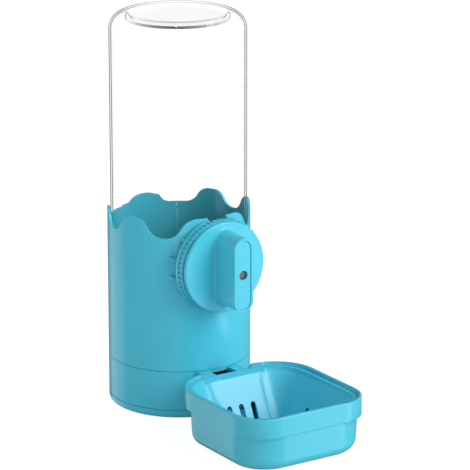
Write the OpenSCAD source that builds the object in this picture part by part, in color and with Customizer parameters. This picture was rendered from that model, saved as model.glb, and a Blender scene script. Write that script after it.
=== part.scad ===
// Cage water dispenser: an inverted bottle in a scalloped sleeve on a cup that feeds a square bowl.
// Z is up and Z 0 is the table. X 0, Y 0 is the bottle's axis. The knob and the bowl face -Y.

/* [Bottle] */
// Gap between the bottle's wall and the sleeve round it
bottle_gap = 0.6; // [0.5:0.1:1.5]
// Height of the bottle's closed end above the table
bottle_top_z = 261.6; // [200:0.2:320]
// Wall thickness of the bottle
bottle_wall = 1.2; // [0.8:0.1:2]
// Radius of the rounded shoulder at the closed end
bottle_shoulder_r = 11; // [6:0.5:16]
// Depth of the round recess in the closed end
punt_depth = 3.4; // [1:0.1:6]
// Outer radius of the bottle's neck
neck_r = 14; // [11:0.5:18]
// Height where the neck meets the bottle's cone
neck_z = 47.8; // [45.8:0.2:51.8]
// Height where the cone meets the bottle's wall
cone_z = 72.4; // [68:0.2:80]

/* [Cap and valve] */
// Outer radius of the screw cap
cap_r = 17.4; // [16:0.1:22]
// Height of the cap's outlet face above the table
cap_z = 24.8; // [23.2:0.2:26]
// Number of grip grooves round the cap
cap_grooves = 36; // [12:1:60]
// Radius of the outlet in the cap
outlet_r = 4.6; // [3.5:0.1:5.4]
// Radius of the valve stem
stem_r = 2.2; // [1.5:0.1:3]
// How far the post holds the valve open
valve_open = 2; // [1:0.1:2.6]
// Turns of the valve spring
spring_turns = 5; // [3:1:7]
// Wire radius of the valve spring
spring_wire_r = 0.4; // [0.25:0.05:0.6]

/* [Sleeve] */
// Outer radius of the sleeve and of the base
body_r = 47; // [46:0.2:52]
// Wall thickness of the sleeve
sleeve_wall = 1.6; // [1.2:0.1:1.6]
// Height of the sleeve's lower edge, where it meets the base
seam_z = 32.4; // [31.8:0.1:33.8]
// Height of the rim at its front, above the knob
rim_z = 134.8; // [134:0.2:142]
// How far the rim's second pair of peaks lies below the front
peak_2_drop = 0.6; // [0:0.1:3]
// How far the rim's third pair of peaks lies below the front
peak_3_drop = 3; // [0:0.1:5]
// How far the rim's peak at the back lies below the front
peak_4_drop = 5.4; // [0:0.1:7]
// Depth of the waves below the front of the rim
wave_depth = 12.9; // [10:0.1:14]
// Sweep of each arc of the waves, in degrees
wave_sweep = 64; // [60:1:70]
// Direction of the first pair of waves, measured from the knob
wave_1_at = 44.5; // [43:0.5:46]
// Direction of the second pair of waves, measured from the knob
wave_2_at = 97; // [95:0.5:98]
// Direction of the third pair of waves, measured from the knob
wave_3_at = 149; // [148:0.5:150]
// Half width of the flat floor of the first waves
wave_1_flat = 0.8; // [0.4:0.1:1.2]
// Half width of the flat floor of the second waves
wave_2_flat = 0.4; // [0.4:0.1:1]
// Half width of the flat floor of the third waves
wave_3_flat = 5.4; // [4:0.1:6]
// Width of the notch above the knob
notch_w = 14; // [8:0.5:18]
// Depth of the notch above the knob
notch_depth = 5; // [2:0.5:8]

/* [Clamp] */
// Height of the clamp's axis above the table
clamp_z = 103.3; // [98:0.1:104]
// Radius of the flange on the sleeve
flange_r = 31.5; // [28:0.5:32]
// How far the flange's face stands out of the sleeve's wall
flange_stand = 1.3; // [1.2:0.1:3]
// Thickness of the flange
flange_t = 2.2; // [1.6:0.1:3]
// Heights of the stiffening fins above and below the clamp's axis
fin_at = [-19, -6.4, 6.4, 19];
// Thickness of each fin
fin_t = 1.6; // [1:0.1:2.4]
// Radius of the toothed ring
ring_r = 31; // [28:0.5:31.5]
// Thickness of the toothed ring
ring_t = 3.4; // [2.6:0.1:4]
// Number of teeth round the ring
ring_teeth = 60; // [36:2:90]
// Depth of each tooth
tooth_depth = 0.6; // [0.4:0.1:1.2]
// Gap between the toothed ring and the knob's disc
disc_gap = 1.5; // [0.8:0.1:2]
// Radius of the step behind the disc that presses on the ring
step_r = 20; // [14:0.5:24]
// Radius of the bolt
bolt_r = 2.5; // [2:0.5:2.5]

/* [Knob] */
// Radius of the knob's disc
disc_r = 29.9; // [29.5:0.1:30.5]
// Thickness of the disc
disc_t = 2.2; // [1.6:0.1:3]
// Half width of the grip at its root
grip_half = 7.8; // [7.2:0.1:9]
// Half height of the grip at its root
grip_reach = 25.2; // [20:0.1:26]
// How far the grip narrows on each side towards its front
grip_draft = 0.7; // [0.2:0.1:1]
// How far the grip stands out of the disc's back
grip_len = 24.2; // [20:0.1:26]
// Radius of the hollow corner round the grip's root
root_r = 2; // [1:0.1:2.4]
// Radius of the hole in the grip's cover
cover_hole_r = 3.1; // [2.8:0.1:3.4]

/* [Base] */
// Rounding of the base's bottom edge
foot_round = 3.5; // [2:0.1:5]
// Height of the fine groove above the table
groove_z = 5.9; // [5:0.1:9]
// Wall thickness of the base
base_wall = 2.2; // [1.6:0.1:2.6]
// Half width of the channel arm
arm_half = 15; // [13:0.5:17]
// Half width of the opening in the arm's top
mouth_half = 7.7; // [5:0.1:12]
// Height of the arm's underside above the table
arm_low = 7; // [6:0.1:7.5]

/* [Bowl] */
// Distance from the base's wall to the back of the bowl's rim
arm_reach = 12.6; // [11:0.1:16]
// Half length of the bowl along Y
bowl_a = 49.1; // [46:0.1:54]
// How far the bowl's side lies inside the base's side
side_inset = 0.4; // [0:0.1:3]
// Corner radius of the bowl's rim
bowl_corner = 22; // [21:0.5:24]
// Corner radius of the bowl below its skirt
body_corner = 25; // [23:0.5:26]
// Height of the bowl's rim
bowl_h = 36.2; // [35.8:0.1:38]
// Height of the skirt's lower edge
skirt_z = 23.5; // [20:0.1:24.5]
// How far the skirt stands proud at the front
skirt_step = 0.8; // [0.4:0.1:1.2]
// How far the skirt stands proud at the sides
side_step = 1.2; // [0.6:0.1:1.6]
// How far the rim stands over the bowl's back
back_step = 4.2; // [2:0.1:4.4]
// How far the bowl narrows on each side below its skirt
bowl_taper = 0.8; // [0.4:0.1:1.4]
// Wall thickness of the bowl below its skirt
bowl_wall = 2; // [1.6:0.1:2.2]
// Rounding of the bowl's bottom edge
bowl_round = 8; // [5:0.5:9]
// Half width of the rim notch at its floor
rim_notch_half = 15.8; // [12:0.1:16]
// Depth of the rim notch
rim_notch_depth = 3.4; // [2:0.1:3.6]

/* [Liner] */
// Wall thickness of the liner
liner_wall = 1.4; // [1:0.1:1.8]
// Width of each slot in the liner
slot_w = 3.8; // [2.4:0.1:4.4]
// Distance between neighbouring slots
slot_pitch = 9.1; // [7:0.1:11]
// Height of the slots' upper ends
slot_top_z = 15.8; // [11:0.1:18]

/* [Hidden] */
$fn = 96;
eps = 0.01;
rest_gap = 0.3;
fit_gap = 0.05;

cyan = [0.38, 0.85, 0.93];
clear = [0.9, 0.95, 0.97, 0.4];
rubber = [0.2, 0.2, 0.2];
steel = [0.6, 0.6, 0.62];

// Bottle and cap
sleeve_in = body_r - sleeve_wall;
bottle_r = sleeve_in - bottle_gap;
neck_foot_r = neck_r + 2;
cone_slope = (cone_z - neck_z) / (bottle_r - neck_foot_r);
punt_r = bottle_r - bottle_shoulder_r - 0.8;
cap_floor = 2;
neck_bottom = cap_z + cap_floor + 1;
cap_top = cap_z + 17;
tube_r = 10.2;
tube_wall = 1.4;
tube_top = cap_z + 17.5;
head_r = 7.6;
head_z = cap_z + cap_floor + valve_open + 1.4;
head_t = 2;
retainer_z = tube_top - 2;
post_top = cap_z - 4.6;

// Sleeve
valley_z = rim_z - wave_depth;
wave_at = [wave_1_at, wave_2_at, wave_3_at, 360 - wave_3_at];
wave_flat = [wave_1_flat, wave_2_flat, wave_3_flat];
peak_z = [rim_z, rim_z - peak_2_drop, rim_z - peak_3_drop, rim_z - peak_4_drop];
wave_lift = 0.15;
ledge_r = sleeve_in - 6.4;
base_top = seam_z - rest_gap;
lug_z = base_top + 4.7;
lug_h = 2;
lug_in = sleeve_in - 1.5;
lug_angle = 6;
lug_count = 3;
lug_slack = 0.8;
twist = 15;

// Clamp and knob
bolt_head_r = 6.5;
bolt_head_t = 1.5;
flange_y = body_r + flange_stand;
ring_back = flange_y + 0.4;
ring_front = ring_back + ring_t;
hub_r = 8.3;
disc_back = ring_front + disc_gap;
disc_rise = 0.3;
grip_front = disc_back + grip_len;
nut_back = disc_back + 5;
nut_af = 8;
nut_t = 4;
well_back = nut_back + nut_t + 0.1;
well_half = grip_half - 2.4;
grip_c = grip_reach - grip_half;
cover_t = 1;
cover_sink = 0.6;
bolt_end = grip_front - 2;

// Base
base_floor = 3;
pad_r = 14;
collar_out = sleeve_in - 0.35;
collar_in = collar_out - 1.8;
collar_top = base_top + 9.7;
collar_foot_z = base_top - 3.3;
arm_wall = 2;
arm_round = 4;
channel_round = 2;
bowl_back = body_r + arm_reach;
arm_end = bowl_back - 0.8;
arm_root = body_r - 4;
end_wall = 1.4;
spigot_r = 6.5;
spigot_bore = 5;
spigot_z = arm_low + 7.6;
spigot_end = arm_end + 9;
seal_r = 8.4;

// Bowl
bowl_y = bowl_back + bowl_a;
bowl_b = body_r - side_inset;
pad_y = bowl_back + skirt_step;
pad_half = 13;
pad_high = skirt_z + 1.5;
bowl_floor = 2.3;
floor_round = 5;
shelf_e = bowl_corner - 9;
shelf_z = skirt_z + 1.6;
body_a = bowl_a - (skirt_step + back_step) / 2;
body_b = bowl_b - side_step;
body_shift = (back_step - skirt_step) / 2;
body_in_e = body_corner - bowl_wall;
bowl_in_e = bowl_corner - 3.8;
ledge_z = bowl_h - 4.1;
rim_in_e = bowl_corner - 2.4;
liner_out_e = rim_in_e - rest_gap;
liner_top = ledge_z + rest_gap + 1.7;
liner_step_e = bowl_corner - 5.5;
liner_lip_e = bowl_corner - 7;
liner_lip_z = liner_top - 2.4;
liner_floor_z = bowl_floor + rest_gap;
liner_foot_e = 1.6;

// Local Z points out of the front of the clamp, and local Y points up
module clamp_frame(out) {
    translate([0, 0, clamp_z])
        rotate([90, 0, 0])
            translate([0, 0, out])
                children();
}

// A profile swept round a rounded rectangle, its X 0 on the corner arcs' centres
module swept_rim(a, b, r) {
    for (s = [0, 1]) {
        rotate([0, 0, s * 180]) {
            translate([b - r, a - r, 0])
                rotate_extrude(angle = 90)
                    children();
            translate([-(b - r), a - r, 0])
                rotate([0, 0, 90])
                    rotate_extrude(angle = 90)
                        children();
            translate([b - r, a - r, 0])
                rotate([90, 0, 0])
                    linear_extrude(2 * (a - r))
                        children();
            translate([-(b - r), a - r, 0])
                rotate([90, 0, 90])
                    linear_extrude(2 * (b - r))
                        children();
        }
    }
}

module bottle_outline(r, top, shoulder, low) {
    translate([0, cone_z])
        square([r, top - shoulder - cone_z]);
    translate([0, cone_z])
        square([r - shoulder, top - cone_z]);
    translate([r - shoulder, top - shoulder])
        intersection() {
            circle(r = shoulder);
            square(shoulder);
        }
    polygon([[0, low], [neck_foot_r - (bottle_r - r), low], [r, cone_z], [r, cone_z + eps], [0, cone_z + eps]]);
}

module bottle() {
    color(clear)
        rotate_extrude()
            difference() {
                union() {
                    bottle_outline(bottle_r, bottle_top_z, bottle_shoulder_r, neck_z);
                    translate([0, neck_bottom])
                        square([neck_r, neck_z - neck_bottom + 1]);
                    translate([0, cap_top + 1.2])
                        square([neck_r + 2, 1.8]);
                }
                difference() {
                    bottle_outline(bottle_r - bottle_wall, bottle_top_z - bottle_wall,
                        bottle_shoulder_r - bottle_wall, neck_z + 0.8);
                    translate([0, bottle_top_z - punt_depth - bottle_wall])
                        square([punt_r + 0.9, punt_depth + bottle_wall]);
                }
                translate([0, neck_bottom - 1])
                    square([neck_r - 1.8, neck_z - neck_bottom + 4]);
                polygon([[0, bottle_top_z - punt_depth], [punt_r - 2.4, bottle_top_z - punt_depth],
                    [punt_r, bottle_top_z + eps], [0, bottle_top_z + eps]]);
            }
}

module bottle_cap() {
    color(cyan)
        difference() {
            union() {
                translate([0, 0, cap_z])
                    cylinder(r = cap_r, h = cap_top - cap_z);
                translate([0, 0, cap_z])
                    cylinder(r = tube_r, h = tube_top - cap_z);
            }
            difference() {
                translate([0, 0, cap_z + cap_floor])
                    cylinder(r = neck_r + 0.15, h = cap_top);
                translate([0, 0, cap_z])
                    cylinder(r = tube_r, h = tube_top);
            }
            translate([0, 0, cap_z + cap_floor])
                cylinder(r = tube_r - tube_wall, h = cap_top);
            translate([0, 0, cap_z - 1])
                cylinder(r = outlet_r, h = cap_floor + 2);
            for (k = [0 : 3])
                rotate([0, 0, k * 90 + 45])
                    translate([0, -2, cap_z + cap_floor + 1])
                        cube([tube_r + 1, 4, 9]);
            for (k = [0 : cap_grooves - 1])
                rotate([0, 0, k * 360 / cap_grooves])
                    translate([cap_r + 0.5, 0, cap_z + 2])
                        cylinder(r = 0.9, h = cap_top, $fn = 16);
        }
}

module cap_seal() {
    color(rubber)
        translate([0, 0, cap_z + cap_floor])
            difference() {
                cylinder(r = neck_r - 0.1, h = 1);
                translate([0, 0, -1])
                    cylinder(r = tube_r + fit_gap, h = 3);
            }
}

module valve_stem() {
    color(cyan)
        union() {
            translate([0, 0, post_top + rest_gap])
                cylinder(r = stem_r, h = retainer_z + 4 - post_top);
            translate([0, 0, head_z])
                cylinder(r = head_r, h = head_t);
            translate([0, 0, head_z + head_t])
                cylinder(r = stem_r + 1, h = 0.6);
        }
}

module valve_seal() {
    color(rubber)
        translate([0, 0, head_z - 1.4])
            difference() {
                cylinder(r = head_r, h = 1.4);
                translate([0, 0, -1])
                    cylinder(r = stem_r, h = 4);
            }
}

module valve_spring() {
    low = head_z + head_t + 0.1 + spring_wire_r;
    high = retainer_z - 0.1 - spring_wire_r;
    coil_r = stem_r + 2.2;
    steps = 20 * spring_turns;
    sides = 8;
    points = [for (i = [0 : steps]) for (j = [0 : sides - 1])
        let (a = 360 * spring_turns * i / steps, b = 360 * j / sides, r = coil_r + spring_wire_r * cos(b))
        [r * cos(a), r * sin(a), low + (high - low) * i / steps + spring_wire_r * sin(b)]];
    skin = [for (i = [0 : steps - 1]) for (j = [0 : sides - 1])
        [i * sides + j, i * sides + (j + 1) % sides, (i + 1) * sides + (j + 1) % sides, (i + 1) * sides + j]];
    ends = [[for (j = [0 : sides - 1]) sides - 1 - j], [for (j = [0 : sides - 1]) steps * sides + j]];
    color(steel)
        polyhedron(points, concat(skin, ends));
}

module spring_retainer() {
    color(cyan)
        translate([0, 0, retainer_z])
            difference() {
                cylinder(r = tube_r - tube_wall - fit_gap, h = 2);
                translate([0, 0, -1])
                    cylinder(r = stem_r + 0.2, h = 4);
                for (k = [0 : 5])
                    rotate([0, 0, k * 60])
                        translate([5.4, 0, -1])
                            cylinder(r = 1.3, h = 4, $fn = 24);
            }
}

// One side of a wave: an S curve of two equal arcs from the valley's floor up to a peak
module wave_side(depth, flat) {
    r = depth / (2 * (1 - cos(wave_sweep)));
    waist = flat + r * sin(wave_sweep);
    reach = flat + 2 * r * sin(wave_sweep);
    mid = depth / 2;
    join = 0.15;
    translate([-flat, mid - join])
        square([waist + flat + 0.02, 2 * join]);
    intersection() {
        translate([flat, r])
            circle(r = r);
        square([reach, mid]);
    }
    difference() {
        translate([0, mid])
            square([reach, depth - mid + 1]);
        translate([reach, depth - r])
            circle(r = r);
    }
}

module wave_profile(i) {
    translate([-wave_flat[i], 0])
        square([2 * wave_flat[i], wave_depth + 1]);
    wave_side(peak_z[i + 1] - valley_z + wave_lift, wave_flat[i]);
    mirror([1, 0])
        wave_side(peak_z[i] - valley_z + wave_lift, wave_flat[i]);
}

// The rim's waves and the lower peaks on one side, which is mirrored for the other side
module rim_waves() {
    for (i = [0 : 2]) {
        rotate([0, 0, wave_at[i]])
            translate([0, 0, valley_z])
                rotate([90, 0, 0])
                    translate([0, 0, body_r / 2])
                        linear_extrude(body_r)
                            wave_profile(i);
        rotate([0, 0, wave_at[i] - 90])
            rotate_extrude(angle = wave_at[i + 1] - wave_at[i])
                translate([sleeve_in - 2, peak_z[i + 1]])
                    square([sleeve_wall + 4, rim_z - peak_z[i + 1] + 1]);
    }
}

module sleeve_flange() {
    difference() {
        intersection() {
            union() {
                clamp_frame(flange_y - flange_t)
                    cylinder(r = flange_r, h = flange_t);
                for (z = fin_at)
                    translate([0, 0, clamp_z + z - fin_t / 2])
                        linear_extrude(fin_t)
                            fin_outline(z);
            }
            cylinder(r = body_r + 20, h = rim_z);
        }
        cylinder(r = sleeve_in + sleeve_wall / 2, h = rim_z + 1);
    }
}

module fin_outline(z) {
    half = sqrt(pow(flange_r, 2) - pow(z, 2)) - 0.6;
    translate([-half, -(flange_y - 1)])
        square([2 * half, 20]);
}

// The wall with the sloped ledge that the bottle's cone rests on
module sleeve_outline() {
    polygon([[body_r, seam_z], [body_r, rim_z], [sleeve_in, rim_z], [sleeve_in, ledge_line(sleeve_in)],
        [ledge_r, ledge_line(ledge_r)], [ledge_r, ledge_line(ledge_r) - 1.6],
        [sleeve_in, ledge_line(ledge_r) - 8], [sleeve_in, seam_z]]);
}

module sleeve_lugs() {
    for (k = [0 : lug_count - 1])
        rotate([0, 0, 90 + k * 360 / lug_count - lug_angle / 2])
            rotate_extrude(angle = lug_angle)
                translate([lug_in, lug_z])
                    square([sleeve_in - lug_in + sleeve_wall / 2, lug_h]);
}

module sleeve() {
    color(cyan)
        difference() {
            union() {
                rotate_extrude()
                    sleeve_outline();
                sleeve_flange();
                sleeve_lugs();
            }
            rim_waves();
            mirror([1, 0, 0])
                rim_waves();
            translate([-notch_w / 2, -body_r - 10, rim_z - notch_depth])
                cube([notch_w, 20, notch_depth + 1]);
            clamp_frame(sleeve_in - 6)
                cylinder(r = bolt_head_r + 0.2, h = 6 + bolt_head_t + 0.3);
            clamp_frame(sleeve_in - 6)
                cylinder(r = bolt_r + fit_gap, h = 20);
        }
}

function ledge_line(r) = neck_z + (r - neck_foot_r) * cone_slope - 0.4;

module clamp_bolt() {
    color(steel)
        clamp_frame(sleeve_in + 0.1)
            union() {
                cylinder(r = bolt_head_r, h = bolt_head_t);
                cylinder(r = bolt_r, h = bolt_end - sleeve_in - 0.1);
            }
}

module toothed_ring() {
    color(cyan)
        clamp_frame(ring_back)
            linear_extrude(ring_t)
                difference() {
                    circle(r = ring_r);
                    circle(r = hub_r + fit_gap);
                    for (k = [0 : ring_teeth - 1])
                        rotate(k * 360 / ring_teeth)
                            translate([ring_r, 0])
                                square([2 * tooth_depth, PI * ring_r / ring_teeth], center = true);
                }
}

module grip_solid(inset, from, to) {
    half_from = grip_half - inset - grip_draft * (from - disc_back) / grip_len;
    half_to = grip_half - inset - grip_draft * (to - disc_back) / grip_len;
    for (s = [-1, 1])
        translate([0, s * grip_c, from])
            cylinder(r1 = half_from, r2 = half_to, h = to - from, $fn = 64);
    translate([0, grip_c, 0])
        rotate([90, 0, 0])
            linear_extrude(2 * grip_c)
                polygon([[-half_from, from], [half_from, from], [half_to, to], [-half_to, to]]);
}

module root_profile() {
    x = grip_half - 0.1;
    difference() {
        translate([x - 1, -0.8])
            square([1 + root_r, 0.8 + root_r]);
        translate([x + root_r, root_r])
            circle(r = root_r);
    }
}

// The hollow corner where the grip grows out of the disc
module grip_root() {
    translate([0, 0, disc_back + disc_t + 0.1])
        for (s = [0, 1])
            rotate([0, 0, s * 180]) {
                translate([0, grip_c, 0])
                    rotate_extrude(angle = 180)
                        root_profile();
                translate([0, grip_c, 0])
                    rotate([90, 0, 0])
                        linear_extrude(2 * grip_c)
                            root_profile();
            }
}

module knob() {
    color(cyan)
        clamp_frame(0)
            difference() {
                union() {
                    translate([0, 0, disc_back])
                        rotate_extrude()
                            disc_outline();
                    translate([0, 0, ring_back + 0.4])
                        cylinder(r = hub_r, h = disc_back - ring_back);
                    translate([0, 0, ring_front + rest_gap])
                        cylinder(r = step_r, h = disc_gap);
                    grip_solid(0, disc_back, grip_front);
                    grip_root();
                }
                grip_solid(2.4, well_back, grip_front - cover_t - cover_sink + eps);
                grip_solid(1.5, grip_front - cover_t - cover_sink, grip_front + 1);
                translate([0, 0, nut_back])
                    cylinder(r = nut_af / 2 / cos(30) + 0.1, h = nut_t + 2, $fn = 6);
                translate([0, 0, sleeve_in])
                    cylinder(r = bolt_r + 0.3, h = grip_front);
            }
}

module disc_outline() {
    edge = 0.8;
    square([disc_r - edge, disc_t]);
    square([disc_r, disc_t - edge]);
    translate([disc_r - edge, disc_t - edge])
        intersection() {
            circle(r = edge);
            square(edge);
        }
    polygon([[0, disc_t - eps], [disc_r - 2.5, disc_t - eps], [disc_r - 8, disc_t + disc_rise * 0.6],
        [0, disc_t + disc_rise]]);
}

module knob_nut() {
    color(steel)
        clamp_frame(nut_back)
            difference() {
                cylinder(r = nut_af / 2 / cos(30), h = nut_t, $fn = 6);
                translate([0, 0, -1])
                    cylinder(r = bolt_r + fit_gap, h = nut_t + 2);
            }
}

module grip_cover() {
    back = grip_front - cover_t - cover_sink;
    color(cyan)
        clamp_frame(0)
            difference() {
                union() {
                    grip_solid(1.6, back, back + cover_t);
                    translate([0, 0, well_back + rest_gap])
                        cylinder(r = well_half - 1.1, h = back - well_back);
                }
                translate([0, 0, nut_back])
                    cylinder(r = cover_hole_r, h = grip_front);
            }
}

module base_outline() {
    f = foot_round;
    difference() {
        union() {
            translate([0, f])
                square([body_r, base_top - f]);
            square([body_r - f, base_top]);
            translate([body_r - f, f])
                intersection() {
                    circle(r = f);
                    translate([0, -f])
                        square(f);
                }
            translate([0, base_top - eps])
                square([collar_out, collar_top - base_top + eps]);
        }
        polygon([[0, base_floor], [body_r - base_wall - 2, base_floor], [body_r - base_wall, base_floor + 2],
            [body_r - base_wall, collar_foot_z - 3], [collar_in, collar_foot_z], [collar_in, collar_top + 1],
            [0, collar_top + 1]]);
        translate([pad_r, -1])
            square([body_r - f - 2.4 - pad_r, 2]);
        translate([body_r - 0.45, groove_z - 0.3])
            square([1, 0.6]);
    }
}

module rounded_slab(half, low, high, r) {
    translate([-half, low + r])
        square([2 * half, high - low - r]);
    translate([-half + r, low])
        square([2 * (half - r), high - low]);
    for (s = [-1, 1])
        translate([s * (half - r), low + r])
            circle(r = r);
}

module channel_slab() {
    rounded_slab(arm_half - arm_wall, arm_low + 2.5, base_top - arm_wall, channel_round);
}

module base() {
    slot_low = lug_z - rest_gap;
    slot_high = lug_z + lug_h + rest_gap;
    color(cyan)
        difference() {
            union() {
                difference() {
                    rotate_extrude()
                        base_outline();
                    rotate([90, 0, 0])
                        translate([0, 0, body_r / 2])
                            linear_extrude(body_r / 2 - 0.5)
                                channel_slab();
                }
                arm();
                post();
            }
            for (k = [0 : lug_count - 1])
                rotate([0, 0, 90 + k * 360 / lug_count]) {
                    rotate([0, 0, -lug_angle / 2 - lug_slack])
                        rotate_extrude(angle = lug_angle + twist + 2 * lug_slack)
                            translate([collar_in - 1, slot_low])
                                square([4, slot_high - slot_low]);
                    rotate([0, 0, twist - lug_angle / 2 - lug_slack / 2])
                        rotate_extrude(angle = lug_angle + lug_slack)
                            translate([collar_in - 1.5, slot_low + 1])
                                square([5, 8]);
                }
        }
}

module arm() {
    difference() {
        rotate([90, 0, 0])
            translate([0, 0, arm_root + 1])
                linear_extrude(arm_end - arm_root - 1)
                    rounded_slab(arm_half, arm_low, base_top, arm_round);
        rotate([90, 0, 0])
            translate([0, 0, arm_root])
                linear_extrude(arm_end - end_wall - arm_root)
                    channel_slab();
        translate([-mouth_half, -arm_end + end_wall, base_top - arm_wall - 1])
            cube([2 * mouth_half, arm_end - end_wall - body_r - 0.2, arm_wall + 2]);
        translate([0, 0, spigot_z])
            rotate([90, 0, 0])
                cylinder(r = spigot_bore, h = spigot_end);
    }
    translate([0, 0, spigot_z])
        rotate([90, 0, 0])
            difference() {
                translate([0, 0, arm_end - 1])
                    cylinder(r = spigot_r, h = spigot_end - arm_end + 1);
                cylinder(r = spigot_bore, h = spigot_end + 1);
            }
}

module post() {
    translate([0, 0, base_floor - eps])
        cylinder(r = 3.4, h = post_top - base_floor + eps);
    for (k = [0 : 3])
        rotate([0, 0, k * 90])
            rotate([90, 0, 0])
                translate([0, 0, -0.8])
                    linear_extrude(1.6)
                        polygon([[0, base_floor - eps], [pad_r - 2, base_floor - eps], [3, post_top - 2.4],
                            [0, post_top - 2.4]]);
}

module spout_seal() {
    color(rubber)
        translate([0, 0, spigot_z])
            rotate([90, 0, 0])
                translate([0, 0, arm_end])
                    difference() {
                        cylinder(r = seal_r, h = pad_y - arm_end - fit_gap);
                        translate([0, 0, -1])
                            cylinder(r = spigot_r + fit_gap, h = 5);
                    }
}

// The bowl below its skirt: a rounded foot and a wall that widens upwards
module body_outline() {
    c = bowl_round;
    foot = body_corner - bowl_taper;
    polygon([[0, c], [foot, c], [body_corner, skirt_z], [body_corner, shelf_z - 0.6], [0, shelf_z - 0.6]]);
    square([foot - c, c + eps]);
    translate([foot - c, c])
        intersection() {
            circle(r = c);
            translate([0, -c])
                square([c, c + eps]);
        }
}

module body_hollow() {
    c = floor_round;
    foot = body_in_e - bowl_taper;
    polygon([[0, bowl_floor + c], [foot, bowl_floor + c], [body_in_e, skirt_z], [body_in_e, shelf_z + eps],
        [0, shelf_z + eps]]);
    translate([0, bowl_floor])
        square([foot - c, c + eps]);
    translate([foot - c, bowl_floor + c])
        circle(r = c);
}

// The skirt and the rim, with the shelf that joins them to the rounder body below
module skirt_outline() {
    edge = 0.9;
    difference() {
        union() {
            translate([shelf_e, skirt_z])
                square([bowl_corner - shelf_e, bowl_h - edge - skirt_z]);
            translate([shelf_e, skirt_z])
                square([bowl_corner - edge - shelf_e, bowl_h - skirt_z]);
            translate([bowl_corner - edge, bowl_h - edge])
                circle(r = edge);
        }
        translate([0, shelf_z])
            square([bowl_in_e, bowl_h]);
        translate([0, ledge_z])
            square([rim_in_e, bowl_h]);
    }
}

module bowl_body() {
    x = body_b - body_corner;
    y = body_a - body_corner;
    difference() {
        union() {
            translate([0, -body_shift, 0]) {
                swept_rim(body_a, body_b, body_corner)
                    body_outline();
                translate([-x, -y, 0])
                    cube([2 * x, 2 * y, bowl_floor + 1]);
            }
            swept_rim(bowl_a, bowl_b, bowl_corner)
                skirt_outline();
            translate([0, bowl_a - skirt_step, 0])
                rotate([90, 0, 0])
                    linear_extrude(back_step + bowl_wall)
                        rounded_slab(pad_half, arm_low - 1, pad_high, arm_round);
        }
        translate([0, -body_shift, 0]) {
            swept_rim(body_a, body_b, body_corner)
                body_hollow();
            translate([-x - 1, -y - 1, bowl_floor])
                cube([2 * x + 2, 2 * y + 2, bowl_h]);
        }
    }
}

module bowl() {
    flare = rim_notch_depth;
    color(cyan)
        difference() {
            translate([0, -bowl_y, 0])
                bowl_body();
            translate([0, 0, spigot_z])
                rotate([90, 0, 0])
                    translate([0, 0, pad_y - 2])
                        cylinder(r = spigot_r + 0.1, h = back_step + bowl_wall + 4);
            translate([0, 0, bowl_h - rim_notch_depth])
                rotate([90, 0, 0])
                    translate([0, 0, pad_y - 5])
                        linear_extrude(10)
                            polygon([[-rim_notch_half, 0], [rim_notch_half, 0],
                                [rim_notch_half + flare, rim_notch_depth + eps],
                                [-rim_notch_half - flare, rim_notch_depth + eps]]);
        }
}

module liner_profile() {
    w = liner_wall;
    polygon([[liner_out_e, ledge_z + rest_gap], [liner_out_e, liner_top], [liner_step_e, liner_top],
        [liner_step_e, liner_lip_z], [liner_lip_e, liner_lip_z], [liner_foot_e, liner_floor_z + w],
        [0, liner_floor_z + w], [0, liner_floor_z], [liner_foot_e + 1.2, liner_floor_z],
        [liner_lip_e + 1.4, liner_lip_z - w], [liner_step_e + w, liner_lip_z - w],
        [liner_step_e + w, ledge_z + rest_gap]]);
}

module liner_slot() {
    r = slot_w / 2;
    low = liner_floor_z + liner_wall + 0.4;
    translate([-r, low + r])
        square([slot_w, slot_top_z - low - 2 * r]);
    for (z = [low + r, slot_top_z - r])
        translate([0, z])
            circle(r = r, $fn = 32);
}

module bowl_liner() {
    color(cyan)
        translate([0, -bowl_y, 0])
            difference() {
                union() {
                    swept_rim(bowl_a, bowl_b, bowl_corner)
                        liner_profile();
                    translate([-(bowl_b - bowl_corner), -(bowl_a - bowl_corner), liner_floor_z])
                        cube([2 * (bowl_b - bowl_corner), 2 * (bowl_a - bowl_corner), liner_wall]);
                }
                for (x = [-1, 0, 1])
                    translate([x * slot_pitch, bowl_a, 0])
                        rotate([90, 0, 0])
                            linear_extrude(2 * bowl_a)
                                liner_slot();
                for (y = [-0.5, 0.5])
                    translate([-bowl_b, y * slot_pitch, 0])
                        rotate([90, 0, 90])
                            linear_extrude(2 * bowl_b)
                                liner_slot();
            }
}

bottle();
bottle_cap();
cap_seal();
valve_stem();
valve_seal();
valve_spring();
spring_retainer();
sleeve();
clamp_bolt();
toothed_ring();
knob();
knob_nut();
grip_cover();
base();
spout_seal();
bowl();
bowl_liner();
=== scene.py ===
import math

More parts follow.
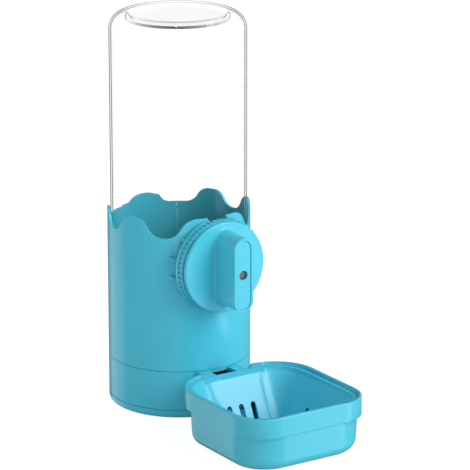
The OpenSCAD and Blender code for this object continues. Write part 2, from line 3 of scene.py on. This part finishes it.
import bmesh
import bpy
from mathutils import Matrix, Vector


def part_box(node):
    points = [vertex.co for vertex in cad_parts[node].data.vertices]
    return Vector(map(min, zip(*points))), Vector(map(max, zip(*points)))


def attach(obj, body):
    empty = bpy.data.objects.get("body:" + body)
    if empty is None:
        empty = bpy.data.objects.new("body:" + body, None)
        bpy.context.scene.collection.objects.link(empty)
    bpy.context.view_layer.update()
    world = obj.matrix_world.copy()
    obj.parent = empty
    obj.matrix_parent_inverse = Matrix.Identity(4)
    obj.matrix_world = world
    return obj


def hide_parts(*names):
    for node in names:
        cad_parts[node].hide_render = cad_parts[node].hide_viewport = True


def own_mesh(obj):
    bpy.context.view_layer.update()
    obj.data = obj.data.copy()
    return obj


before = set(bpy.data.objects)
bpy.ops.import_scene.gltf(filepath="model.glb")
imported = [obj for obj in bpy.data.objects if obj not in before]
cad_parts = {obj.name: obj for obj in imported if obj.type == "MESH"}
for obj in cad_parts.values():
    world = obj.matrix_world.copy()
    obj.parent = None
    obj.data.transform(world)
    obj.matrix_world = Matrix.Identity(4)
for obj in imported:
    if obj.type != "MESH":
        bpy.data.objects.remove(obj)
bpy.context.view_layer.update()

# Lengths are in metres, unless a comment says millimetres
MM = 0.001

# The photo's viewing angle, from the housing's ellipses, the knob's disc and the bowl's rim
TARGET = Vector((0.030864, -0.020197, 0.1328))
CAMERA = Vector((-0.956273, -1.528700, 0.635876))
LENS = 218.49
SHIFT_Y = -0.0666

# Colours, as linear red, green and blue
CYAN = (0.072, 0.57, 0.745)
BOWL_CYAN = (0.07, 0.51, 0.66)
# The dark teal is painted shade, laid in the base's channel and on the bowl's walls behind the liner's slots
PAINTED_SHADE_TEAL = (0.002, 0.012, 0.018)
PALE_PLASTIC = (0.75, 0.8, 0.8)
PALE_RUBBER = (0.6, 0.62, 0.62)
BLACK_RUBBER = (0.05, 0.05, 0.055)
SPRING_STEEL = (0.62, 0.62, 0.63)
BOLT_STEEL = (0.2, 0.2, 0.21)
NUT_STEEL = (0.5, 0.5, 0.5)
CLEAR_WALL = (0.9, 0.93, 0.95)
# The clear edge colour is painted shade, at the bottle's edges and under the lip of its recessed end
CLEAR_EDGE_SHADE = (0.06, 0.07, 0.08)
WHITE = (1, 1, 1, 1)
PAPER = (0.9, 0.9, 0.9, 1)

# The depth of the orange peel on moulded plastic
PEEL_STRENGTH = 0.02

# The bottle's wall: where its dark edge starts, from 0 face on to 1 edge on, how fast it rises, and how much
# the edge, the mirror and the haze cover what is behind. The dark edge is painted shade, in place of the darkening
# that bent light gives a clear wall seen edge on
RIM_FROM = 0.815
RIM_RISE = 11
RIM_COVER = 0.95
MIRROR_EDGE = 0.3
MIRROR_FACE = 0.006
HAZE_COVER = 0.004

# The bottle's recessed end: its lip, in from the bottle's side and down from its top, and the dark band under the
# lip. The lip and the band are painted shade, darkest on the front. The last three say which side is the front, and
# how the band fades round the bottle
RECESS_INSET = 0.0118
LIP_HALF = 0.0013
LIP_DEPTH = 0.0015
LIP_SHARE = 0.6
UNDER_OUTSET = 0.0009
UNDER_HALF = 0.0009
UNDER_TOP = 0.0026
UNDER_LOW = 0.0052
TOWARDS_CAMERA = (-0.55, -0.83, 0)
FRONT_RISE = 32
FRONT_FROM = 0.1

# The walls of the channel in the base's arm, where painted shade darkens the base
CHANNEL_HALF = 0.0133
CHANNEL_LOW = 0.0085
CHANNEL_TOP = 0.0303
CHANNEL_END = -0.0583
CHANNEL_START = -0.03

# The bowl's inner walls behind the liner's slots, where painted shade darkens the bowl: the slots' heights, and for
# the back wall and the side walls half the slotted width and the two limits that the mask keeps between
SLOTS_TOP = 0.021
SLOTS_LOW = 0.0085
BACK_SLOTS_HALF = 0.017
BACK_WALL = (-0.078, -0.0646)
SIDE_SLOTS_HALF = 0.012
SIDE_WALL = (0.03, 0.0445)

# The bowl's outline, seen from above
BOWL_MIDDLE = Vector((0, -0.1087))
BOWL_HALF = Vector((0.0466, 0.0491))
CORNER = 0.022
BACK_CORNER = 0.029
CORNER_CUTS = (0, 0.0018, 0.0036, 0.0054)

# The rim notch of the solid, and the narrower one that takes its place, a little to one side
NOTCH_BACK = -0.0665
NOTCH_FLOOR = 0.0328
NOTCH_HALF = 0.0158
NOTCH_FLARE = 0.0034
NEW_NOTCH_HALF = 0.0122
NEW_NOTCH_FLARE = 0.0042
NOTCH_ASIDE = 0.0015

# The sleeve's rear wave: how far its rim moves, in mm, at each angle round the bottle. The move starts at the
# wave's foot and is whole one blend above it
REAR_WAVE = (
    (70, 0), (74, 0), (78, -1.5), (82, -0.6), (86, -0.2), (91, -0.2),
    (95.5, -1.0), (98, -1.7), (100, -2.6), (102, -3.6), (104.4, -3.7), (106, -2.0),
    (109.5, 1.6), (114, 1.6), (120, 1.8), (127, 1.6), (134, 0),
)
WAVE_CUT_STEP = 2
WAVE_FOOT = 0.112
WAVE_BLEND = 0.008

# Meshes: vertices within WELD become one, a cut uses a vertex within CUT_SNAP, the notch's ends are found to
# within NOTCH_SNAP, edges stay sharp from SHARP_FROM degrees, and TINY keeps a division from zero
WELD = 2e-6
CUT_SNAP = 1e-7
NOTCH_SNAP = 0.0001
SHARP_FROM = 24
TINY = 1e-6

# How bright the white surroundings are to reflections and to soft light, and the floor's own glow
GLOSS_SKY = 0.2
SOFT_SKY = 0.6
FLOOR_GLOW = 1.15
FLOOR_GLOW_SHARE = 0.8
FLOOR_HALF = 6


# Shader wiring

class Wire:
    """A socket, with the arithmetic that the finishes below are written in."""

    def __init__(self, shop, socket):
        self.shop = shop
        self.socket = socket

    def _math(self, kind, a, b):
        return self.shop.node("ShaderNodeMath", {"operation": kind}, {0: a, 1: b})

    def __add__(self, other):
        return self._math("ADD", self, other)

    def __radd__(self, other):
        return self._math("ADD", other, self)

    def __sub__(self, other):
        return self._math("SUBTRACT", self, other)

    def __rsub__(self, other):
        return self._math("SUBTRACT", other, self)

    def __mul__(self, other):
        return self._math("MULTIPLY", self, other)

    def __rmul__(self, other):
        return self._math("MULTIPLY", other, self)

    def size(self):
        return self.shop.node("ShaderNodeMath", {"operation": "ABSOLUTE"}, {0: self})

    def clamped(self):
        return self.shop.node("ShaderNodeClamp", {}, {"Value": self})


class Shop:
    """Builds one node tree."""

    def __init__(self, tree):
        self.tree = tree
        tree.nodes.clear()

    def node(self, kind, settings=None, inputs=None, out=0):
        """Add a node, and return its output as a wire if it has one. Inputs and out go by name or number."""
        made = self.tree.nodes.new(kind)
        for key, value in (settings or {}).items():
            setattr(made, key, value)
        for key, value in (inputs or {}).items():
            if isinstance(value, Wire):
                self.tree.links.new(value.socket, made.inputs[key])
            else:
                made.inputs[key].default_value = value
        return Wire(self, made.outputs[out]) if len(made.outputs) else None

    def place(self):
        return self.node("ShaderNodeTexCoord", out="Object")

    def axes(self, spot):
        """The x, y and z of a place."""
        return [self.node("ShaderNodeSeparateXYZ", {}, {0: spot}, i) for i in range(3)]

    def ray(self, kind):
        return self.node("ShaderNodeLightPath", out=f"Is {kind} Ray")

    def noise(self, scale, detail, stretch=None):
        spot = self.place()
        if stretch:
            spot = self.node("ShaderNodeMapping", {}, {"Vector": spot, "Scale": stretch})
        return self.node("ShaderNodeTexNoise", {}, {"Vector": spot, "Scale": scale, "Detail": detail})

    def blend(self, amount, a, b):
        """From colour a to colour b. Each is a wire or three numbers, and a colour mix has them at inputs 6 and 7."""
        a, b = (colour if isinstance(colour, Wire) else (*colour, 1) for colour in (a, b))
        return self.node("ShaderNodeMix", {"data_type": "RGBA"}, {0: amount, 6: a, 7: b}, 2)

    def finish(self, inputs):
        shader = self.node("ShaderNodeBsdfPrincipled", {}, inputs)
        self.node("ShaderNodeOutputMaterial", {}, {"Surface": shader})


def above(value, start, fade):
    """0 below start, rising to 1 over fade millimetres."""
    return ((value - start) * (1 / (fade * MM))).clamped()


def below(value, end, fade):
    """0 above end, rising to 1 over fade millimetres under it."""
    return ((end - value) * (1 / (fade * MM))).clamped()


def new_finish(name):
    material = bpy.data.materials.new(name)
    material.use_nodes = True
    return material, Shop(material.node_tree)


# Masks of painted shade, that darken part of a piece

def channel_shade(shop):
    """Painted shade: 1 on the walls of the water channel, under the arm's top, and 0 on the rest of the base."""
    across, along, up = shop.axes(shop.place())
    inside = below(across.size(), CHANNEL_HALF, 0.25)
    roofed = below(up, CHANNEL_TOP, 0.25)
    floored = above(up, CHANNEL_LOW, 0.25)
    before_end = above(along, CHANNEL_END, 0.25)
    before_cup = below(along, CHANNEL_START, 0.25)
    return inside * roofed * floored * before_end * before_cup


def under_liner_shade(shop):
    """Painted shade: 1 on the bowl's inner walls behind the liner's slots, and 0 on the rest of the bowl."""
    across, along, up = shop.axes(shop.place())
    aside = across.size()
    lengthwise = (along - BOWL_MIDDLE.y).size()
    back = (below(aside, BACK_SLOTS_HALF, 1) * below(along, BACK_WALL[1], 0.25)
            * above(along, BACK_WALL[0], 2))
    side = (below(lengthwise, SIDE_SLOTS_HALF, 1) * below(aside, SIDE_WALL[1], 0.25)
            * above(aside, SIDE_WALL[0], 2))
    low = below(up, SLOTS_TOP, 2) * above(up, SLOTS_LOW, 0.5)
    return (back + side).clamped() * low


def recess_shade(shop):
    """Painted shade: 1 under the lip of the bottle's recessed end and less on the lip, on the side towards the photo's
    camera.
    """
    radius, _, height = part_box("bottle")[1]
    lip_radius = radius - RECESS_INSET
    spot = shop.place()
    flat = shop.node("ShaderNodeVectorMath", {"operation": "MULTIPLY"}, {0: spot, 1: (1, 1, 0)})
    out = shop.node("ShaderNodeVectorMath", {"operation": "LENGTH"}, {0: flat}, "Value")
    forward = shop.node("ShaderNodeVectorMath", {"operation": "DOT_PRODUCT"}, {0: spot, 1: TOWARDS_CAMERA}, "Value")
    high = shop.axes(spot)[2]
    near_front = (forward * FRONT_RISE - FRONT_FROM).clamped()
    lip = below((out - lip_radius).size(), LIP_HALF, 1) * above(high, height - LIP_DEPTH, 0.4)
    under = (below((out - (lip_radius + UNDER_OUTSET)).size(), UNDER_HALF, 0.5)
             * below(high, height - UNDER_TOP, 0.4) * above(high, height - UNDER_LOW, 0.2))
    return (lip * LIP_SHARE + under).clamped() * near_front


# Finishes

def moulded_plastic(name, colour, rough=0.24, soft_edge=0.35, shaded=None):
    """Glossy injection-moulded plastic: faint pigment drift, a slight orange peel and edges softened over
    soft_edge millimetres. shaded is a mask of painted shade: it turns the pigment dark teal where shade would fall."""
    material, shop = new_finish(name)
    drift = shop.noise(22, 2)
    flow = shop.noise(60, 3, (1, 1, 0.25))
    dark = [c * 0.93 for c in colour]
    light = [min(1, c * 1.04 + 0.003) for c in colour]
    pigment = shop.blend((drift * 0.7 + flow * 0.3).clamped(), dark, light)
    if shaded:
        # Painted shade: where the mask is 1 the pigment turns dark teal
        pigment = shop.blend(shaded(shop), pigment, PAINTED_SHADE_TEAL)
    peel = shop.noise(900, 2)
    scuff = shop.noise(140, 6, (1, 1, 3))
    edge = shop.node("ShaderNodeBevel", {"samples": 4}, {"Radius": soft_edge * MM})
    bump = shop.node("ShaderNodeBump", {},
                     {"Strength": PEEL_STRENGTH, "Distance": 0.4 * MM, "Height": peel, "Normal": edge})
    shop.finish({"Base Color": pigment, "Roughness": rough - 0.03 + scuff * 0.07, "Normal": bump, "IOR": 1.49})
    return material


def clear_plastic(name):
    """Clear bottle plastic: the wall hardly shows face on and mirrors the room. Its edges and the lip of its recessed
    end are greyed with painted shade.
    """
    material, shop = new_finish(name)
    ripple = shop.noise(16, 1, (1, 1, 0.3))
    haze = shop.noise(70, 4)
    facing = shop.node("ShaderNodeLayerWeight", {}, {"Blend": 0.5}, "Facing")
    fourth = facing * facing * facing * facing
    mirror = fourth * fourth * MIRROR_EDGE + MIRROR_FACE
    # Painted shade: the wall turns dark grey as it turns edge on
    edges = ((facing - RIM_FROM) * RIM_RISE).clamped()
    # Painted shade under the lip of the recessed end
    recess = recess_shade(shop)
    rim = (edges + recess).clamped()
    cover = (mirror + edges * RIM_COVER + recess * RIM_COVER + haze * HAZE_COVER).clamped()
    tone = shop.blend(rim, CLEAR_WALL, CLEAR_EDGE_SHADE)
    bump = shop.node("ShaderNodeBump", {}, {"Strength": 0.03, "Distance": 0.6 * MM, "Height": ripple})
    shop.finish({"Base Color": tone, "Roughness": 0.02 + haze * 0.03, "Metallic": 1 - rim, "Alpha": cover,
                 "IOR": 1.45, "Normal": bump})
    return material


def soft_rubber(name, colour):
    """Matt rubber with a fine speckle."""
    material, shop = new_finish(name)
    speck = shop.noise(900, 4)
    drift = shop.noise(60, 3)
    tone = shop.blend(drift, [c * 0.85 for c in colour], colour)
    bump = shop.node("ShaderNodeBump", {}, {"Strength": 0.15, "Distance": 0.3 * MM, "Height": speck})
    shop.finish({"Base Color": tone, "Roughness": 0.6 + speck * 0.15, "Normal": bump})
    return material


def turned_steel(name, colour, rough):
    """Turned or drawn metal, with fine tool lines."""
    material, shop = new_finish(name)
    lines = shop.noise(700, 4)
    stain = shop.noise(90, 4)
    tone = shop.blend(stain, [c * 0.7 for c in colour], colour)
    bump = shop.node("ShaderNodeBump", {}, {"Strength": 0.12, "Distance": 0.2 * MM, "Height": lines})
    shop.finish({"Base Color": tone, "Roughness": rough + lines * 0.15, "Metallic": 1, "Normal": bump})
    return material


finishes = {
    "bottle": clear_plastic("clear_bottle_finish_with_painted_shade"),
    "bottle_cap": moulded_plastic("cap_finish", CYAN, 0.3),
    "cap_seal": soft_rubber("cap_seal_finish", PALE_RUBBER),
    "valve_stem": moulded_plastic("valve_finish", PALE_PLASTIC, 0.32),
    "valve_seal": soft_rubber("valve_seal_finish", BLACK_RUBBER),
    "valve_spring": turned_steel("spring_finish", SPRING_STEEL, 0.22),
    "spring_retainer": moulded_plastic("retainer_finish", PALE_PLASTIC, 0.32),
    "sleeve": moulded_plastic("sleeve_finish", CYAN),
    "clamp_bolt": turned_steel("bolt_finish", BOLT_STEEL, 0.28),
    "toothed_ring": moulded_plastic("toothed_ring_finish", CYAN, 0.3, 0.2),
    "knob": moulded_plastic("knob_finish", CYAN),
    "knob_nut": turned_steel("nut_finish", NUT_STEEL, 0.3),
    "grip_cover": moulded_plastic("grip_cover_finish", CYAN, 0.26),
    # The base carries painted shade in its channel
    "base": moulded_plastic("base_finish_with_painted_shade", CYAN, shaded=channel_shade),
    "spout_seal": soft_rubber("spout_seal_finish", PALE_RUBBER),
    # The bowl carries painted shade on its walls behind the liner's slots
    "bowl": moulded_plastic("bowl_finish_with_painted_shade", BOWL_CYAN, shaded=under_liner_shade),
    "bowl_liner": moulded_plastic("liner_finish", CYAN, 0.3, 0.08),
}
for node, finish in finishes.items():
    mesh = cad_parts[node].data
    for slot in range(len(mesh.materials)):
        mesh.materials[slot] = finish


# Reshaped copies of CAD nodes

def cut(bm, spot, facing):
    """Cut the faces along a plane, so that they can bend there."""
    bmesh.ops.bisect_plane(bm, geom=bm.verts[:] + bm.edges[:] + bm.faces[:], dist=CUT_SNAP, plane_co=spot,
                           plane_no=facing)


def narrow_notch(bm):
    """Move the slanted ends of the bowl's rim notch inwards."""
    for v in bm.verts:
        up = v.co.z - NOTCH_FLOOR
        if v.co.y > NOTCH_BACK and up > -NOTCH_SNAP / 2:
            if abs(abs(v.co.x) - NOTCH_HALF - up) < NOTCH_SNAP:
                half = NEW_NOTCH_HALF + up * NEW_NOTCH_FLARE / NOTCH_FLARE
                v.co.x = math.copysign(half, v.co.x) + NOTCH_ASIDE


def outline_reach(way, corner):
    """How far the bowl's outline is from its middle in one direction, with corners of the given radius."""
    inner = BOWL_HALF - Vector((corner, corner))
    side = BOWL_HALF.x / max(way.x, TINY)
    if side * way.y <= inner.y:
        return side
    back = BOWL_HALF.y / max(way.y, TINY)
    if back * way.x <= inner.x:
        return back
    middle = way.dot(inner)
    return middle + math.sqrt(max(0, middle * middle - inner.length_squared + corner * corner))


def round_back_corners(bm):
    """Give the two corners towards the housing the wider radius."""
    inner = BOWL_HALF - Vector((BACK_CORNER, BACK_CORNER))
    for side in (-1, 1):
        for step in CORNER_CUTS:
            cut(bm, (side * (inner.x + step), 0, 0), (1, 0, 0))
    for step in CORNER_CUTS:
        cut(bm, (0, BOWL_MIDDLE.y + inner.y + step, 0), (0, 1, 0))
    for v in bm.verts:
        arm = Vector((abs(v.co.x), v.co.y - BOWL_MIDDLE.y))
        if arm.x > inner.x and arm.y > inner.y:
            way = arm.normalized()
            ratio = outline_reach(way, BACK_CORNER) / outline_reach(way, CORNER)
            v.co.x *= ratio
            v.co.y = BOWL_MIDDLE.y + arm.y * ratio


def wave_shift(angle):
    for (a, low), (b, high) in zip(REAR_WAVE, REAR_WAVE[1:]):
        if a <= angle <= b:
            return (low + (high - low) * (angle - a) / (b - a)) * MM
    return 0


def round_rear_wave(bm):
    """Give the sleeve's rear wave a rounded crest and a slow left flank."""
    for angle in range(REAR_WAVE[0][0], REAR_WAVE[-1][0] + 1, WAVE_CUT_STEP):
        across = math.radians(angle + 90)
        cut(bm, (0, 0, 0), (math.cos(across), math.sin(across), 0))
    for v in bm.verts:
        if v.co.z > WAVE_FOOT:
            angle = math.degrees(math.atan2(v.co.y, v.co.x)) % 360
            v.co.z += wave_shift(angle) * min(1, (v.co.z - WAVE_FOOT) / WAVE_BLEND)


def shaped_skin(node, body, shape_steps):
    """A copy of a CAD node's mesh, taken through the shape steps, that stands for the node and rides on its body."""
    bm = bmesh.new()
    bm.from_mesh(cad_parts[node].data)
    bmesh.ops.remove_doubles(bm, verts=bm.verts, dist=WELD)
    for step in shape_steps:
        step(bm)
    bmesh.ops.recalc_face_normals(bm, faces=bm.faces)
    mesh = bpy.data.meshes.new(node + "_skin")
    bm.to_mesh(mesh)
    bm.free()
    mesh.materials.clear()
    mesh.materials.append(finishes[node])
    mesh.shade_smooth()
    mesh.set_sharp_from_angle(angle=math.radians(SHARP_FROM))
    skin = bpy.data.objects.new(node + "_skin", mesh)
    bpy.context.collection.objects.link(skin)
    even = skin.modifiers.new("even_shading", "WEIGHTED_NORMAL")
    even.keep_sharp = True
    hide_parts(node)
    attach(skin, body)
    return skin


shaped_skin("bowl", "bowl_tray", (narrow_notch, round_back_corners))
shaped_skin("bowl_liner", "bowl_tray", (round_back_corners,))
shaped_skin("sleeve", "housing", (round_rear_wave,))

spring = shaped_skin("valve_spring", "housing", ())
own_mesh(spring)


# Studio

def aim(thing):
    """Turn a camera or a lamp to face the target."""
    thing.rotation_mode = "QUATERNION"
    thing.rotation_quaternion = (TARGET - thing.location).to_track_quat("-Z", "Y")


def studio_camera():
    data = bpy.data.cameras.new("photo_camera")
    data.sensor_width = 36
    data.lens = LENS
    data.shift_y = SHIFT_Y
    data.clip_start = 0.05
    data.clip_end = 50
    cam = bpy.data.objects.new("photo_camera", data)
    bpy.context.collection.objects.link(cam)
    cam.location = CAMERA
    aim(cam)
    bpy.context.scene.camera = cam


def from_camera(turn, lift, far):
    """A point far from the target: turn is degrees to the camera's right, lift is degrees above the target's level."""
    back = CAMERA - TARGET
    heading = math.atan2(back.y, back.x) + math.radians(turn)
    flat = Vector((math.cos(heading), math.sin(heading), 0)) * math.cos(math.radians(lift))
    return TARGET + (flat + Vector((0, 0, math.sin(math.radians(lift))))) * far


def soft_box(name, place, width, height, power):
    data = bpy.data.lights.new(name, "AREA")
    data.shape = "RECTANGLE"
    data.size = width
    data.size_y = height
    data.energy = power
    lamp = bpy.data.objects.new(name, data)
    bpy.context.collection.objects.link(lamp)
    lamp.location = place
    aim(lamp)


def studio_world():
    """White to the camera, dimmer to reflections and to soft light."""
    world = bpy.data.worlds.new("studio_world")
    bpy.context.scene.world = world
    world.use_nodes = True
    shop = Shop(world.node_tree)
    seen = shop.ray("Camera") + shop.ray("Transmission")
    glossy = shop.ray("Glossy")
    level = seen.clamped() + glossy * GLOSS_SKY + (1 - (seen + glossy).clamped()) * SOFT_SKY
    sky = shop.node("ShaderNodeBackground", {}, {"Color": WHITE, "Strength": level})
    shop.node("ShaderNodeOutputWorld", {}, {"Surface": sky})


def studio_floor():
    """Paper that looks white to the camera, takes a faint shadow and doesn't show in reflections."""
    bm = bmesh.new()
    bmesh.ops.create_grid(bm, x_segments=1, y_segments=1, size=FLOOR_HALF)
    mesh = bpy.data.meshes.new("studio_floor")
    bm.to_mesh(mesh)
    bm.free()
    floor = bpy.data.objects.new("studio_floor", mesh)
    bpy.context.collection.objects.link(floor)
    material, shop = new_finish("floor_finish")
    seen = (shop.ray("Camera") + shop.ray("Transmission")).clamped()
    paper = shop.node("ShaderNodeBsdfDiffuse", {}, {"Color": PAPER})
    glow = shop.node("ShaderNodeEmission", {}, {"Color": WHITE, "Strength": FLOOR_GLOW})
    mixed = shop.node("ShaderNodeMixShader", {}, {0: seen * FLOOR_GLOW_SHARE, 1: paper, 2: glow})
    gone = shop.node("ShaderNodeBsdfTransparent")
    sheet = shop.node("ShaderNodeMixShader", {}, {0: shop.ray("Glossy"), 1: mixed, 2: gone})
    shop.node("ShaderNodeOutputMaterial", {}, {"Surface": sheet})
    mesh.materials.append(material)


studio_camera()
studio_world()
studio_floor()
soft_box("key_box", from_camera(60, 30, 1.7), 0.9, 0.9, 18.5)
soft_box("left_box", from_camera(-121, -14, 1.5), 1.15, 1.6, 4.8)
soft_box("right_box", from_camera(74, -12, 1.5), 0.5, 1.6, 5.5)
soft_box("line_box", from_camera(-3, -15, 1.9), 0.03, 1.8, 3)

bpy.context.scene.view_settings.view_transform = "Standard"
